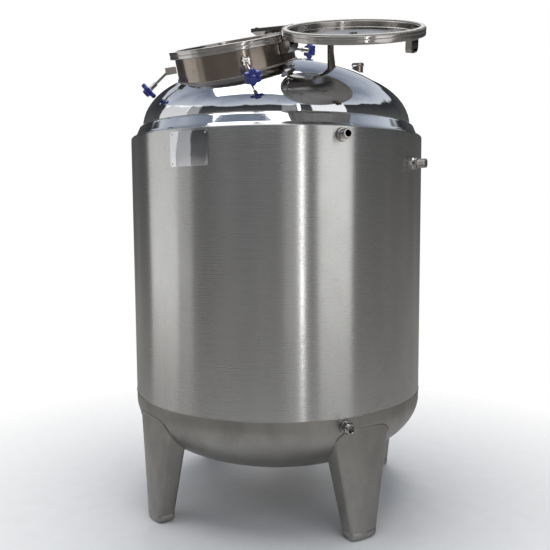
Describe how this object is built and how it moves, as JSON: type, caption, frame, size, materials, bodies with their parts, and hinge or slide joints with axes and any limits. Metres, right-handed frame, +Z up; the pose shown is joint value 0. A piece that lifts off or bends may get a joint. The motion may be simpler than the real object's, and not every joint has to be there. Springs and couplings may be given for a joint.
{
  "type": "bulk milk tank",
  "caption": "Upright insulated stainless milk storage vessel on legs, with a domed top, a tilted manway with a hinged lid and swing bolts with star knobs, sockets and a drain valve.",
  "frame": {"origin": "on the floor, below the middle of the bounding box", "axes": "+Z up along the tank, -Y towards the viewer of the front, +X to the right as seen from the front"},
  "size_m": [1.12, 1.2945, 1.87],
  "materials": {
    "mirror_steel": "mirror polished stainless steel",
    "brushed_steel": "brushed satin stainless steel",
    "matte_steel": "dull blasted stainless steel",
    "machined_steel": "machined stainless steel",
    "blue_plastic": "glossy moulded plastic",
    "black_plastic": "matte moulded plastic",
    "gasket_rubber": "white silicone rubber",
    "insulation_foam": "poured rigid foam"
  },
  "bodies": {
    "tank": {"agitator_seat": "brushed_steel", "base_insulation": "insulation_foam", "bolt_lug_front": "machined_steel", "bolt_lug_left": "machined_steel", "bolt_lug_rear": "machined_steel", "bolt_lug_right": "machined_steel", "cleaning_inlet": "machined_steel", "cooling_jacket": "brushed_steel", "foot_front_left": "matte_steel", "foot_front_right": "matte_steel", "foot_rear_left": "matte_steel", "foot_rear_right": "matte_steel", "hinge_bracket": "machined_steel", "hinge_pin": "machined_steel", "inner_bottom_head": "brushed_steel", "inner_wall": "brushed_steel", "leg_front_left": "matte_steel", "leg_front_right": "matte_steel", "leg_rear_left": "matte_steel", "leg_rear_right": "matte_steel", "lid_rest": "machined_steel", "lower_socket": "machined_steel", "lug_pin_front": "machined_steel", "lug_pin_left": "machined_steel", "lug_pin_rear": "machined_steel", "lug_pin_right": "machined_steel", "manway_neck": "brushed_steel", "manway_rim": "brushed_steel", "name_plate": "mirror_steel", "outer_bottom_head": "matte_steel", "outer_shell": "brushed_steel", "outlet_pipe": "brushed_steel", "seat_cover_plate": "brushed_steel", "shoulder_ring": "mirror_steel", "side_socket": "machined_steel", "spray_ball": "machined_steel", "top_head": "mirror_steel", "upper_socket": "machined_steel", "valve_body": "machined_steel", "wall_insulation": "insulation_foam"},
    "lid": {"manway_lid": "brushed_steel", "lid_gasket": "gasket_rubber", "hinge_arm": "machined_steel", "arm_bolt": "machined_steel", "handle_strap": "machined_steel", "handle_grip": "black_plastic"},
    "valve": {"valve_disc": "machined_steel", "valve_lever": "black_plastic"},
    "bolt_left": {"eye_bolt_left": "machined_steel"},
    "knob_left": {"knob_sleeve_left": "machined_steel", "star_knob_left": "blue_plastic"},
    "bolt_front": {"eye_bolt_front": "machined_steel"},
    "knob_front": {"knob_sleeve_front": "machined_steel", "star_knob_front": "blue_plastic"},
    "bolt_right": {"eye_bolt_right": "machined_steel"},
    "knob_right": {"knob_sleeve_right": "machined_steel", "star_knob_right": "blue_plastic"},
    "bolt_rear": {"eye_bolt_rear": "machined_steel"},
    "knob_rear": {"knob_sleeve_rear": "machined_steel", "star_knob_rear": "blue_plastic"}
  },
  "joints": [
    {"name": "lid_hinge", "type": "hinge", "parent": "tank", "child": "lid", "pos_m": [0.04325, -0.30651, 1.7417], "axis": [-0.5496, -0.7797, -0.3], "range_deg": [0, 189]},
    {"name": "bolt_swing_left", "type": "hinge", "parent": "tank", "child": "bolt_left", "pos_m": [-0.37961, -0.17668, 1.62879], "axis": [-0.1578, 0.9597, 0.2326], "range_deg": [0, 123]},
    {"name": "knob_turn_left", "type": "hinge", "parent": "bolt_left", "child": "knob_left", "pos_m": [-0.43823, -0.17315, 1.57446], "axis": [-0.7327, 0.0442, -0.6791], "continuous": true},
    {"name": "bolt_swing_front", "type": "hinge", "parent": "tank", "child": "bolt_front", "pos_m": [-0.09726, -0.3802, 1.62021], "axis": [-0.969, -0.1476, -0.1984], "range_deg": [0, 118]},
    {"name": "knob_turn_front", "type": "hinge", "parent": "bolt_front", "child": "knob_front", "pos_m": [-0.07785, -0.43802, 1.56844], "axis": [0.2426, -0.7227, -0.6471], "continuous": true},
    {"name": "bolt_swing_right", "type": "hinge", "parent": "tank", "child": "bolt_right", "pos_m": [0.04926, -0.01901, 1.74147], "axis": [0.5832, -0.8033, -0.1208], "range_deg": [0, 105]},
    {"name": "knob_turn_right", "type": "hinge", "parent": "bolt_right", "child": "knob_right", "pos_m": [0.1141, 0.02783, 1.74299], "axis": [0.8104, 0.5856, 0.019], "continuous": true},
    {"name": "bolt_swing_rear", "type": "hinge", "parent": "tank", "child": "bolt_rear", "pos_m": [-0.26744, 0.05593, 1.70979], "axis": [0.845, 0.4653, 0.2637], "range_deg": [0, 96]},
    {"name": "knob_turn_rear", "type": "hinge", "parent": "bolt_rear", "child": "knob_rear", "pos_m": [-0.30683, 0.12547, 1.7133], "axis": [-0.4924, 0.8693, 0.0439], "continuous": true},
    {"name": "valve_turn", "type": "hinge", "parent": "tank", "child": "valve", "pos_m": [0.09196, 0.49527, 0.13], "axis": [0, 0, 1], "range_deg": [0, 90]}
  ]
}
